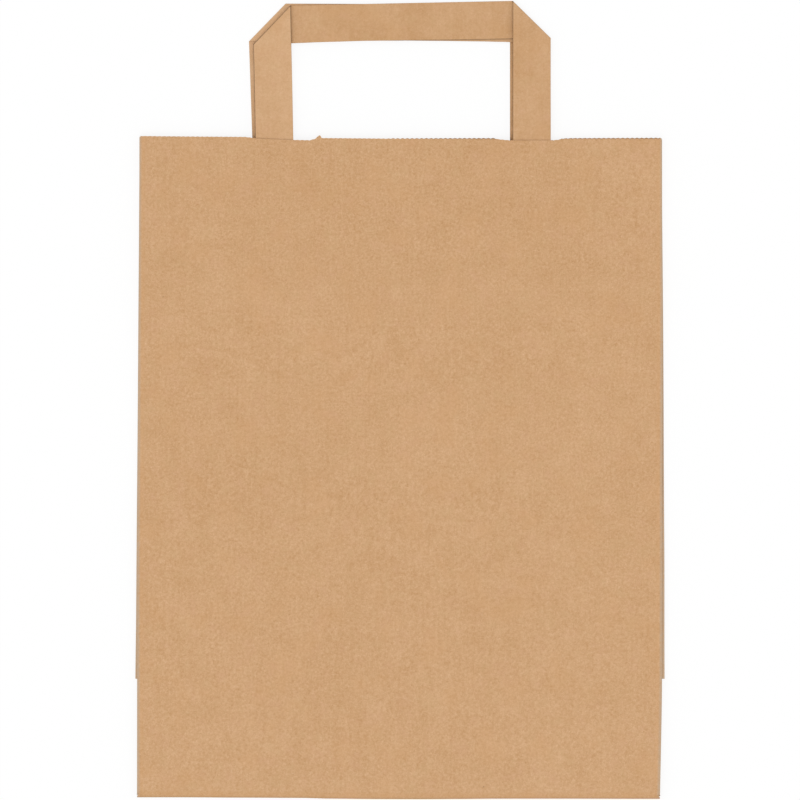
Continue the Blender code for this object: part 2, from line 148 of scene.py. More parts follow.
@dataclass
class Relief:
    """How the flat plies of the bag lie once it has been handled: air, sags, waves and a wavy foot.

    Heights follow the stack of plies at four stations along the bag: over the folded bottom, in the
    middle, over the patches and beyond the mouth. A span is a pair of values between which a share
    rises from 0 to 1.
    """

    foot: float
    half_width: float

    # The stations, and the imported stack's inner air at each
    folded_end: float = -0.06295
    middle_start: float = -0.01695
    middle_end: float = 0.00005
    mouth_start: float = 0.04605
    mouth_end: float = 0.11305
    loop_start: float = 0.13605
    gap_heights: tuple[float, float, float, float] = (0.00206, 0.00106, 0.00184, 0.00099)
    gap_halves: tuple[float, float, float, float] = (0.00009, 0.00048, 0.00009, 0.00010)

    # Air under the front panel, with waves and cockling
    pillow: float = 0.00052
    pillow_side: Span = (0.0, 0.045)
    pillow_foot: Span = (0.004, 0.060)
    pillow_fade: float = 0.010
    pillow_rim: Span = (0.0, 0.012)
    deepest_wave: float = -0.00006
    wave: float = 0.00024
    wave_length: float = 0.062
    wave_stretch: float = 1.5
    wave_plane: float = 0.37
    ripple: float = 0.00005
    ripple_length: float = 0.021
    ripple_stretch: float = 3.0
    ripple_plane: float = 4.1
    noise_gain: float = 1.4

    # Sag of the front panel beside the handles' legs and the patch
    sag_inside: float = 0.00030
    sag_outside: float = 0.00052
    sag_start: Span = (0.002, 0.016)
    sag_rim: Span = (0.0, 0.010)
    sag_breath: tuple[float, float, float] = (0.8, 0.2, 0.3)
    leg_half_pitch: float = 0.0541
    leg_clear: Span = (0.0098, 0.0198)
    patch_side: Span = (0.0770, 0.0850)
    patch_edge: Span = (0.0750, 0.0770)
    panel_under: Span = (0.00322, 0.00212)
    panel_top: float = 0.00343

    # Sideways lean of the side folds, of the front plies and of the rear ones
    foot_fade: float = 0.045
    crease_y: float = -0.11735
    crease_fade: Span = (-0.016, -0.001)
    front_left: Knots = ((-0.1160, -0.00058), (-0.0900, -0.00062), (0.1000, 0.00016))
    rear_left: Knots = ((-0.1160, 0.00000), (-0.0900, 0.00013), (0.1100, 0.00018))
    front_right: Knots = ((-0.1160, 0.00004), (-0.0600, 0.00020), (0.0200, 0.00036), (0.0900, 0.00026))
    rear_right: Knots = ((-0.1160, -0.00020), (-0.0600, 0.00008), (0.0200, 0.00028), (0.0900, 0.00016))
    foot_narrowing: float = -0.00098
    narrowing_power: float = 1.3
    lean_side: Span = (0.048, 0.004)

    # Ends of the folds at the foot's corners and at the rear crease
    corner_reach: tuple[float, float] = (0.00080, 0.00046)
    reach_change: Span = (0.0006, 0.0012)
    reach_side: Span = (0.0016, 0.0007)
    reach_top: Span = (0.0014, 0.0021)
    corner_drop: float = 0.00104
    nose_side: Span = (0.0009, 0.0004)
    drop_low: Span = (0.0017, 0.0024)
    drop_high: Span = (0.0027, 0.0075)
    crease_drop: float = 0.0006
    crease_low: Span = (0.0002, 0.0008)
    crease_high: Span = (0.0016, 0.005)

    # Wavy mouth of the plies under the front panel, and wavy foot
    tuck: Knots = (
        (-0.0500, 0.00036), (-0.0460, 0.00110), (-0.0365, 0.00110), (-0.0340, 0.00036), (-0.0080, 0.00036),
        (-0.0040, -0.00010), (0.0380, -0.00018), (0.0395, -0.00018), (0.0425, 0.00075), (0.0650, 0.00085),
        (0.0690, 0.00010), (0.0730, 0.00002), (0.1000, 0.00000), (0.1110, 0.00000),
    )
    tuck_ply: Span = (0.0030, 0.0034)
    tuck_low: Span = (0.1062, 0.1095)
    tuck_high: Span = (0.1122, 0.1252)
    foot_rise: Knots = (
        (-0.1110, 0.00081), (-0.0920, 0.00081), (-0.0660, 0.00067), (-0.0420, 0.00056), (-0.0290, 0.00025),
        (-0.0080, 0.00006), (0.0080, 0.00000), (0.0260, 0.00012), (0.0400, 0.00023), (0.0670, 0.00024),
        (0.1050, 0.00016),
    )

    # Handles beyond the mouth
    loop_lift: float = 0.00034
    loop_span: Span = (-0.012, 0.018)
    loop_scale: float = 0.8
    loop_place: tuple[float, float] = (0.11, 0.2)
    nest_up: float = 0.00036
    nest_down: float = 0.00004
    nest_start: float = 0.013
    nest_end: Span = (-0.012, -0.001)
    grip_low: float = 0.1492
    curl: tuple[float, float] = (0.00092, 0.00088)
    curl_edges: tuple[float, float] = (-0.0457, 0.0473)
    curl_width: float = 0.009
    curl_start: Span = (-0.016, 0.002)
    curl_fade: Span = (0.011, 0.018)
    curl_ply: Span = (0.00152, 0.00161)

    def along(self, y: float, values: tuple[float, float, float, float]) -> float:
        """Value at a place along the bag, from its values at the four stations."""
        folded, middle, mouth, loops = values
        return stepped(y, ((self.folded_end, folded), (self.middle_start, middle), (self.middle_end, middle),
                           (self.mouth_start, mouth), (self.mouth_end, mouth), (self.loop_start, loops)))

    def waves(self, x: float, y: float) -> float:
        """Soft waves of handled paper, between about -1 and 1."""
        place = Vector((x / self.wave_length, y / (self.wave_length * self.wave_stretch), self.wave_plane))
        return noise.noise(place) * self.noise_gain

    def ripples(self, x: float, y: float) -> float:
        """Finer, lengthwise cockling of the sheet, between about -1 and 1."""
        length = self.ripple_length * self.ripple_stretch
        place = Vector((x / self.ripple_length, y / length, self.ripple_plane))
        return noise.noise(place) * self.noise_gain

    def bulge(self, x: float, y: float) -> float:
        """How far the plies above the inner air stand up from where they are packed flat.

        Args:
            x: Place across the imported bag.
            y: Place along it.

        Returns:
            The rise, none at the sides, the foot and the mouth.
        """
        from_side = self.half_width - abs(x)
        along = eased(y - self.foot, self.pillow_foot)
        before_mouth = 1.0 - smooth_share(y, self.middle_end - self.pillow_fade, self.mouth_start)
        free = self.pillow * eased(from_side, self.pillow_side)
        free += self.wave * self.waves(x, y) + self.ripple * self.ripples(x, y)
        return max(free, self.deepest_wave) * along * before_mouth * eased(from_side, self.pillow_rim)

    def sag(self, x: float, y: float) -> float:
        """How far the front panel sinks beside the strips and the patch that it covers.

        Args:
            x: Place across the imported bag.
            y: Place along it.

        Returns:
            The drop, none over the legs and at the sides.
        """
        here = eased(y - self.mouth_start, self.sag_start)
        past_leg = eased(abs(abs(x) - self.leg_half_pitch), self.leg_clear)
        past_patch = eased(abs(x), self.patch_side)
        rim = eased(self.half_width - abs(x), self.sag_rim)
        mean, depth, shift = self.sag_breath
        breathing = mean + depth * self.waves(x + shift, y)
        return here * rim * breathing * (self.sag_inside * past_leg + self.sag_outside * past_patch)

    def sag_share(self, x: float, z: float) -> float:
        """Share of the sag that a ply takes: all for the front panel, none for what lies under it."""
        over_strip, past_patch = self.panel_under
        start = over_strip + (past_patch - over_strip) * eased(abs(x), self.patch_edge)
        return straight_share(z, start, self.panel_top)

    def lean(self, x: float, y: float, share: float) -> float:
        """Sideways shift of the panel's side folds, which lean a little as the foot narrows.

        Args:
            x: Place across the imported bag.
            y: Place along it.
            share: 1 for the plies above the inner air, 0 for those below it.

        Returns:
            The shift along X.
        """
        below_crease = 1.0 - eased(y - self.crease_y, self.crease_fade)
        far, near = self.lean_side
        near_side = smooth_share(abs(x), self.half_width - far, self.half_width - near)
        above_air = stepped(y, self.front_left if x < 0.0 else self.front_right)
        rear = stepped(y, self.rear_left if x < 0.0 else self.rear_right)
        if x > 0.0:
            narrowed = straight_share(-y, -self.crease_y, -self.foot) ** self.narrowing_power
            above_air += self.foot_narrowing * narrowed
        below_air = rear * (1.0 - below_crease) + above_air * below_crease
        return near_side * (share * above_air + (1.0 - share) * below_air)

    def corner(self, x: float, y: float) -> tuple[float, float]:
        """Stretch of the folds' ends into the foot's two corners and the rear crease's ends.

        Args:
            x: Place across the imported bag.
            y: Place along it.

        Returns:
            Shifts along X and Y.
        """
        above_foot = y - self.foot
        above_crease = y - self.crease_y
        inset = abs(x) - self.half_width
        outward = smooth_share(inset, *(-edge for edge in self.reach_side))
        outward *= 1.0 - eased(above_foot, self.reach_top)
        low_reach, high_reach = self.corner_reach
        reach = low_reach + (high_reach - low_reach) * eased(above_foot, self.reach_change)
        on_nose = smooth_share(inset, *(-edge for edge in self.nose_side))
        down = on_nose * eased(above_foot, self.drop_low) * (1.0 - eased(above_foot, self.drop_high))
        past = on_nose * eased(above_crease, self.crease_low) * (1.0 - eased(above_crease, self.crease_high))
        return math.copysign(reach * outward, x), -self.corner_drop * down - self.crease_drop * past

    def strips(self, x: float, y: float, z: float, share: float) -> float:
        """Rise of the handles beyond the mouth: the legs nest, and the front ones curl off the grip.

        Args:
            x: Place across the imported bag.
            y: Place along it.
            z: Height in the stack.
            share: 1 for the front handle, 0 for the rear one.

        Returns:
            The rise.
        """
        above_grip_low = y - self.grip_low
        free = smooth_share(y, self.mouth_end, self.mouth_end + self.nest_start)
        free *= 1.0 - eased(above_grip_low, self.nest_end)
        nested = free * ((1.0 - share) * self.nest_up - share * self.nest_down)
        upper = straight_share(z, *self.curl_ply)
        left_edge, right_edge = self.curl_edges
        left_curl, right_curl = self.curl
        edge = smooth_share(x, left_edge - self.curl_width, left_edge) * left_curl
        if x > 0.0:
            edge = smooth_share(-x, -right_edge - self.curl_width, -right_edge) * right_curl
        over_grip = eased(above_grip_low, self.curl_start)
        over_grip *= 1.0 - eased(above_grip_low, self.curl_fade) / 2.0
        return nested + upper * edge * over_grip

    def beyond_mouth(self, x: float, y: float, z: float, share: float) -> float:
        """Rise of what lies over the patches and beyond the mouth.

        Args:
            x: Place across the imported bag.
            y: Place along it.
            z: Height in the stack.
            share: 1 for the plies above the inner air, 0 for those below it.

        Returns:
            The rise, below 0 where the panel sags.
        """
        before_loops = 1.0 - smooth_share(y, self.mouth_end, self.loop_start)
        lifted = eased(y - self.loop_start, self.loop_span)
        shift, row = self.loop_place
        lift = self.loop_lift * (0.5 + self.waves(x * self.loop_scale + shift, row) / 2.0)
        sunk = self.sag(x, y) * self.sag_share(x, z) * before_loops
        return lifted * lift - sunk + self.strips(x, y, z, share)

    def laid(self, x: float, y: float, z: float) -> Vector:
        """Place of a packed point after the bag has been handled.

        Args:
            x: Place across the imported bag.
            y: Place along it.
            z: Height in its stack.

        Returns:
            The point's new place.
        """
        height = self.along(y, self.gap_heights)
        half = self.along(y, self.gap_halves)
        share = straight_share(z, height - half, height + half)
        up = share * self.bulge(x, y)
        if y > self.mouth_start:
            up += self.beyond_mouth(x, y, z, share)
        out, end = self.corner(x, y)
        out += self.lean(x, y, share)
        end += stepped(x, self.foot_rise) * (1.0 - smooth_share(y, self.foot, self.foot + self.foot_fade))
        at_mouth = eased(y, self.tuck_low) * (1.0 - eased(y, self.tuck_high))
        end -= stepped(x, self.tuck) * (1.0 - eased(z, self.tuck_ply)) * at_mouth
        return Vector((x + out, y + end, z + up))


class Tone:
    """A value or colour on its way through a shader, which Python's operators work on."""

    def __init__(self, graph: "Graph", socket: Optional[bpy.types.NodeSocket]) -> None:
        """Wrap a node's output socket.

        Args:
            graph: The material's graph that the socket is in.
            socket: The output socket.
        """
        self.graph = graph
        self.socket = socket

    def _with(self, operation: str, first: "Value", second: "Value") -> "Tone":
        """Result of a Math node on two values."""
        return self.graph.node("ShaderNodeMath", {"operation": operation}, {0: first, 1: second})

    def __add__(self, other: "Value") -> "Tone":
        """Sum."""
        return self._with("ADD", self, other)

    def __radd__(self, other: "Value") -> "Tone":
        """Sum with the value on the left."""
        return self._with("ADD", other, self)

    def __sub__(self, other: "Value") -> "Tone":
        """Difference."""
        return self._with("SUBTRACT", self, other)

    def __rsub__(self, other: "Value") -> "Tone":
        """Difference from the value on the left."""
        return self._with("SUBTRACT", other, self)

    def __mul__(self, other: "Value") -> "Tone":
        """Product."""
        return self._with("MULTIPLY", self, other)

    def __rmul__(self, other: "Value") -> "Tone":
        """Product with the value on the left."""
        return self._with("MULTIPLY", other, self)

    def band(self, start: Number, end: Number, low: Number = 0.0, high: Number = 1.0) -> "Tone":
        """Eased step of this value between two values.

        Args:
            start: Value at which the step begins.
            end: Value at which it ends.
            low: Result before the step.
            high: Result after it.

        Returns:
            The stepped value.
        """
        return self.graph.node("ShaderNodeMapRange", {"interpolation_type": "SMOOTHSTEP"},
                               {0: self, 1: start, 2: end, 3: low, 4: high})


Value = Union[Tone, Number]
Input = Union[Tone, Number, tuple]


class Graph:
    """Node graph of a material or the world, built through one method."""

    def __init__(self, owner: Union[bpy.types.Material, bpy.types.World]) -> None:
        """Empty the graph of what it belongs to.

        Args:
            owner: The material or world.
        """
        owner.use_nodes = True
        self.owner = owner
        self.tree = owner.node_tree
        self.tree.nodes.clear()

    def node(self, kind: str, settings: dict[str, object], inputs: dict[Union[int, str], Input],
             output: Union[int, str] = 0) -> Tone:
        """Add a node.

        Args:
            kind: The node's type.
            settings: Attributes of the node, set before its sockets are filled.
            inputs: Values or links of its sockets, by index or name.
            output: The output socket that is wanted.

        Returns:
            The wanted output, which is empty on a node that ends the graph.
        """
        made = self.tree.nodes.new(kind)
        for name, value in settings.items():
            setattr(made, name, value)
        for key, value in inputs.items():
            if isinstance(value, Tone):
                self.tree.links.new(value.socket, made.inputs[key])
            else:
                made.inputs[key].default_value = value
        return Tone(self, made.outputs[output] if len(made.outputs) else None)

    def object_place(self, turn: float = 0.0, stretch: tuple[float, float, float] = (1.0, 1.0, 1.0)) -> Tone:
        """Object coordinates in millimetres, turned about Z and stretched.

        Args:
            turn: Angle in radians.
            stretch: Scale along each axis after the turn.

        Returns:
            The coordinates.
        """
        place = self.node("ShaderNodeTexCoord", {}, {}, "Object")
        scale = tuple(share / MILLIMETRE for share in stretch)
        kind, point = "ShaderNodeMapping", {"vector_type": "POINT"}
        turned = self.node(kind, point, {"Vector": place, "Rotation": (0.0, 0.0, turn)})
        return self.node(kind, point, {"Vector": turned, "Scale": scale})

    def moved(self, place: Tone, shift: float) -> Tone:
        """Coordinates moved up by a distance."""
        return self.node("ShaderNodeVectorMath", {"operation": "ADD"}, {0: place, 1: (0.0, 0.0, shift)})

    def grain(self, place: Tone, grain: "Grain") -> Tone:
        """Noise around zero.

        Args:
            place: Coordinates in millimetres.
            grain: The noise's size and octaves.

        Returns:
            Noise between about -0.5 and 0.5.
        """
        inputs = {"Vector": place, "Scale": 1.0 / grain.size}
        inputs |= {"Detail": grain.detail, "Roughness": grain.rough}
        return self.node("ShaderNodeTexNoise", {"noise_dimensions": "3D"}, inputs, 0) - 0.5

    def mixed(self, share: Tone, first: Input, second: Input) -> Tone:
        """A colour between two, by a share from 0 to 1."""
        return self.node("ShaderNodeMix", {"data_type": "RGBA", "clamp_factor": False},
                         {0: share, 6: first, 7: second}, 2)


@dataclass(frozen=True)
class Grain:
    """One layer of noise in the paper: its size in millimetres, octaves and their strength."""

    size: float
    detail: float = 1.0
    rough: float = 0.5
    stretch: tuple[float, float, float] = (1.0, 1.0, 1.0)


@dataclass(frozen=True)
class Kraft:
    """Machine-finished brown kraft paper: clouded pulp, fibres, wire ribs, specks, creases greyed partly by
    rubbing and partly by painted sheen, and painted shade along edges and folds.

    Tones are shares between the dark and the light colour. A cover is the greatest share of a colour
    that a mask lays on.
    """

    name: str
    dark: Colour = (0.4810, 0.2490, 0.0930)
    light: Colour = (0.7290, 0.4640, 0.2680)
    warm: Colour = (0.6250, 0.3500, 0.1620)
    pink: Colour = (0.6350, 0.3600, 0.2050)
    olive: Colour = (0.5950, 0.3750, 0.1850)
    dark_fibre: Colour = (0.3500, 0.1700, 0.0600)
    pale_fibre: Colour = (0.7600, 0.5400, 0.3600)
    speck: Colour = (0.1900, 0.1050, 0.0500)
    # Grey of the fold noses: partly rubbed paper, partly painted sheen where the fold turns away towards the
    # white surroundings
    wear_and_sheen_grey: Colour = (0.5000, 0.3800, 0.2700)
    # Painted shade: near-black brown laid along strip edges, fold noses and the bottom fold
    painted_shade: Colour = (0.0500, 0.0270, 0.0130)
    fine: float = 0.82
    pulp: float = 0.88
    cloud: float = 0.36
    drift: float = 0.13
    rib: float = 0.155
    band: float = 0.065
    fine_grain: Grain = Grain(0.50, 1.0, 0.6)
    pulp_grain: Grain = Grain(1.15, 2.0, 0.6)
    cloud_grain: Grain = Grain(9.0, 3.0, 0.62)
    drift_grain: Grain = Grain(55.0)
    rib_grain: Grain = Grain(1.1, stretch=(1.0, 0.035, 1.0))
    band_grain: Grain = Grain(4.0, stretch=(0.02, 1.0, 1.0))
    patch_grain: Grain = Grain(14.0, 2.0)
    hue_grain: Grain = Grain(6.5, 3.0, 0.65)
    fibre_grain: Grain = Grain(0.34, stretch=(1.0, 0.16, 1.0))
    fibre_band: Span = (0.16, 0.27)
    fibre_step: float = 7.0
    pale_turns: tuple[float, ...] = (0.35, 1.15, 2.0)
    pale_shift: float = 3.3
    pale_cover: float = 0.16
    dark_turns: tuple[float, ...] = (-0.8, 0.1, 1.6)
    dark_shift: float = 11.7
    dark_cover: float = 0.13
    hue_band: Span = (0.02, 0.22)
    hue_cover: float = 0.30
    patch_band: Span = (0.0, 0.2)
    patch_cover: float = 0.25
    crease_start: Span = (0.10, 0.35)
    crease_end: Span = (0.45, 0.75)
    crease_cover: float = 0.30
    wear_and_sheen_band: Span = (0.62, 0.98)
    wear_and_sheen_base: float = 0.60
    wear_and_sheen_pulp: float = 0.96
    painted_shade_cover: float = 0.9
    speck_cell: float = 9.0
    speck_size: Span = (0.016, 0.034)
    speck_chance: Span = (0.86, 0.90)
    speck_cover: Span = (0.25, 0.5)
    seed: float = 0.0
    roughness: float = 0.84
    roughness_pulp: float = 0.12
    roughness_crease: float = -0.06
    relief: tuple[float, float, float, float] = (0.5, 0.9, 0.25, 0.25)
    grain_depth: float = 0.00005
    refraction: float = 1.42
    crease_layer: str = "crease"
    tone_layer: str = "tone"
    painted_shade_layer: str = "painted_edge_shade"

    def material(self) -> bpy.types.Material:
        """Build the paper's material.

        Returns:
            The material.
        """
        graph = Graph(bpy.data.materials.new(self.name))
        place = graph.moved(graph.object_place(), self.seed)
        fine, pulp, cloud = (graph.grain(place, grain)
                             for grain in (self.fine_grain, self.pulp_grain, self.cloud_grain))
        drift, patchy, hue = (graph.grain(place, grain)
                              for grain in (self.drift_grain, self.patch_grain, self.hue_grain))
        ribs, bands = (graph.grain(graph.object_place(0.0, grain.stretch), grain)
                       for grain in (self.rib_grain, self.band_grain))
        tone, crease, painted_shade = (graph.node("ShaderNodeAttribute", {"attribute_name": layer}, {}, "Fac")
                             for layer in (self.tone_layer, self.crease_layer, self.painted_shade_layer))
        share = 0.5 + tone + fine * self.fine + pulp * self.pulp + cloud * self.cloud
        share = share + drift * self.drift + ribs * self.rib + bands * self.band
        colour = graph.mixed(share, (*self.dark, 1.0), (*self.light, 1.0))
        start, end = self.hue_band
        colour = graph.mixed(hue.band(start, end, 0.0, self.hue_cover), colour, (*self.pink, 1.0))
        colour = graph.mixed(hue.band(-end, -start, self.hue_cover, 0.0), colour, (*self.olive, 1.0))
        near_crease = crease.band(*self.crease_start) - crease.band(*self.crease_end)
        warmth = patchy.band(*self.patch_band, 0.0, self.patch_cover) + near_crease * self.crease_cover
        colour = graph.mixed(warmth, colour, (*self.warm, 1.0))
        pale = self.fibres(graph, self.pale_turns, self.pale_shift)
        dark = self.fibres(graph, self.dark_turns, self.dark_shift)
        colour = graph.mixed(pale * self.pale_cover, colour, (*self.pale_fibre, 1.0))
        colour = graph.mixed(dark * self.dark_cover, colour, (*self.dark_fibre, 1.0))
        colour = graph.mixed(self.specks(graph, place), colour, (*self.speck, 1.0))
        # Fold noses greyed: partly rubbed paper, partly painted sheen
        wear_and_sheen = crease.band(*self.wear_and_sheen_band) * (self.wear_and_sheen_base + pulp * self.wear_and_sheen_pulp)
        colour = graph.mixed(wear_and_sheen, colour, (*self.wear_and_sheen_grey, 1.0))
        # Painted shade along strip edges, fold noses and the bottom fold
        colour = graph.mixed(painted_shade * self.painted_shade_cover, colour, (*self.painted_shade, 1.0))
        of_fine, of_pulp, of_pale, of_ribs = self.relief
        height = fine * of_fine + pulp * of_pulp + pale * of_pale + ribs * of_ribs
        raised = {"Strength": 1.0, "Distance": self.grain_depth, "Height": height}
        bump = graph.node("ShaderNodeBump", {}, raised)
        roughness = self.roughness + pulp * self.roughness_pulp + crease * self.roughness_crease
        inputs = {"Base Color": colour, "Roughness": roughness, "Normal": bump, "IOR": self.refraction}
        shader = graph.node("ShaderNodeBsdfPrincipled", {}, inputs)
        graph.node("ShaderNodeOutputMaterial", {}, {"Surface": shader})
        return graph.owner

    def fibres(self, graph: Graph, turns: tuple[float, ...], shift: float) -> Tone:
        """Thin hairs in a few directions.

        Args:
            graph: The material's graph.
            turns: Directions in radians.
            shift: Height at which the noise is read, so that no two layers match.

        Returns:
            A mask from 0 to 1.
        """
        mask: Value = 0.0
        for index, turn in enumerate(turns):
            place = graph.object_place(turn, self.fibre_grain.stretch)
            moved = graph.moved(place, shift + self.seed + self.fibre_step * index)
            mask = graph.grain(moved, self.fibre_grain).band(*self.fibre_band) + mask
        return mask

    def specks(self, graph: Graph, place: Tone) -> Tone:
        """Sparse dark specks of bark.

        Args:
            graph: The material's graph.
            place: Coordinates in millimetres.

        Returns:
            A mask from 0 to 1.
        """
        cells = {"Vector": place, "Scale": 1.0 / self.speck_cell, "Randomness": 1.0}
        near, draw = (graph.node("ShaderNodeTexVoronoi", {"feature": "F1"}, cells, output)
                      for output in ("Distance", "Color"))
        chance, size = (graph.node("ShaderNodeSeparateColor", {}, {"Color": draw}, channel)
                        for channel in ("Red", "Green"))
        base, more = self.speck_cover
        return near.band(*self.speck_size, 1.0, 0.0) * chance.band(*self.speck_chance) * (base + size * more)


STRIP_KRAFT = Kraft("kraft_strip", fine=0.40, pulp=0.54, cloud=0.50, drift=0.22)


class PaperPiece:
    """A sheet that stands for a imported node, shaped in edit mode and laid by the relief."""

    merge_distance = 1e-6
    cut_distance = 1e-7
    flat_angle = 0.002
    smooth_angle = 32.0

    def __init__(self, node: str, name: str, relief: Relief) -> None:
        """Name the piece and what it stands for.

        Args:
            node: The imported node.
            name: The new piece's name.
            relief: How the bag's plies lie.
        """
        self.node = node
        self.name = name
        self.relief = relief
        self.item: bpy.types.Object

    def start_edit(self) -> None:
        """Enter edit mode on the piece alone, with everything in it selected."""
        if bpy.context.object and bpy.context.object.mode != "OBJECT":
            bpy.ops.object.mode_set(mode="OBJECT")
        bpy.ops.object.select_all(action="DESELECT")
        self.item.select_set(True)
        bpy.context.view_layer.objects.active = self.item
        bpy.ops.object.mode_set(mode="EDIT")
        bpy.ops.mesh.select_mode(type="FACE")
        bpy.ops.mesh.select_all(action="SELECT")

    def end_edit(self) -> None:
        """Leave edit mode."""
        bpy.ops.object.mode_set(mode="OBJECT")

    def copy_of_node(self, frame: dict) -> None:
        """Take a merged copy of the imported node's mesh, with its flat faces joined."""
        mesh = frame["nodes"][self.node].data.copy()
        mesh.name = self.name
        mesh.materials.clear()
        self.item = bpy.data.objects.new(self.name, mesh)
        bpy.context.scene.collection.objects.link(self.item)
        self.start_edit()
        bpy.ops.mesh.customdata_custom_splitnormals_clear()
        bpy.ops.mesh.remove_doubles(threshold=self.merge_distance)
        bpy.ops.mesh.dissolve_limited(angle_limit=self.flat_angle)
        self.end_edit()

    def divide(self, lines: list[tuple[Vector, Vector]]) -> None:
        """Cut the whole piece along planes.

        Args:
            lines: Pairs of a point on the plane and the plane's normal.
        """
        self.start_edit()
        for point, normal in lines:
            bpy.ops.mesh.select_all(action="SELECT")
            bpy.ops.mesh.bisect(plane_co=point, plane_no=normal, threshold=self.cut_distance)
        self.end_edit()

    def grid(self, low: Vector, high: Vector, pitch: float) -> list[tuple[Vector, Vector]]:
        """Planes across X and Y that divide a box evenly.

        Args:
            low: The box's lowest corner.
            high: Its highest corner.
            pitch: Distance between planes.

        Returns:
            Pairs of point and normal.
        """
        lines = []
        for axis, normal in ((0, Vector((1, 0, 0))), (1, Vector((0, 1, 0)))):
            count = max(2, round((high[axis] - low[axis]) / pitch))
            for step in range(1, count):
                point = Vector((0.0, 0.0, 0.0))
                point[axis] = low[axis] + (high[axis] - low[axis]) * step / count
                lines.append((point, normal))
        return lines

    def lay(self) -> None:
        """Move every point to where the relief lays it."""
        for vertex in self.item.data.vertices:
            vertex.co = self.relief.laid(*vertex.co)

    def store(self, layer: str, value: Callable[[Vector], float]) -> None:
        """Store a number at each point, for the finish to read.

        Args:
            layer: The attribute's name.
            value: Gives the number at a packed point.
        """
        made = self.item.data.attributes.new(layer, "FLOAT", "POINT")
        for index, vertex in enumerate(self.item.data.vertices):
            made.data[index].value = value(vertex.co)

    def finish(self, material: bpy.types.Material, slot: Slot) -> None:
        """Args:
            material: Its finish.
            slot: The record's slot that the finish belongs to; not used.
        """
        bpy.ops.object.select_all(action="DESELECT")
        self.item.select_set(True)
        bpy.context.view_layer.objects.active = self.item
        bpy.ops.object.shade_smooth_by_angle(angle=math.radians(self.smooth_angle))
        self.item.data.materials.clear()
        self.item.data.materials.append(material)
        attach(self.item, "root")
        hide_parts(self.node)
        low, high = (Vector(corner) for corner in (self.item.bound_box[0], self.item.bound_box[6]))
        size = ", ".join(f"{value / MILLIMETRE:.1f}" for value in high - low)
        LOG.info("%s: %d faces, %s mm", self.name, len(self.item.data.polygons), size)


@dataclass
class SackSizes:
    """Driving sizes of the sack's finer shape, and the places and strengths of its colour shares, painted
    light and painted shade.
    """

    cell: float = 0.0042
    crease_lines: tuple[float, ...] = (0.0007, 0.0013, 0.0022, 0.0032)
    tuft_x: tuple[float, float] = (-0.0354, -0.0328)
    tuft_steps: tuple[tuple[float, float, float], ...] = ((0.0002, 0.00055, 0.72), (0.0003, 0.00060, 0.30))
    tuft_thinning: float = 0.8
    mouth_low: float = 0.10
    facing: float = 0.5
    front_low: float = 0.0030
    # Fold noses greyed partly by rubbing and partly by painted sheen
    crease_edge: float = 0.0005
    foot_crease_share: float = 0.45
    # Painted shade in a dark line along the bottom fold
    foot_shade_depth: float = 0.22
    foot_shade_band: Span = (0.0002, 0.0011)
    patch_x: float = 0.004
    patch_span: Span = (0.061, 0.071)
    patch_low: Span = (0.046, 0.054)
    patch_tone: float = -0.030
    # Painted light on the bottom fold's rounding, and painted shade where it turns under
    foot_band: tuple[Span, Span] = ((0.0016, 0.0026), (0.0038, 0.0054))
    foot_band_painted_light: float = 0.03
    foot_low: Span = (0.0020, 0.0030)
    foot_painted_shade: float = -0.07
    foot_light: Span = (0.0, 0.16)
    foot_light_tone: float = 0.012
    # Painted light on the rear plies' slivers at the sides, which lie in the front panel's shade
    sliver: Span = (0.1080, 0.1092)
    sliver_top: float = 0.0019
    sliver_painted_light: float = 0.28


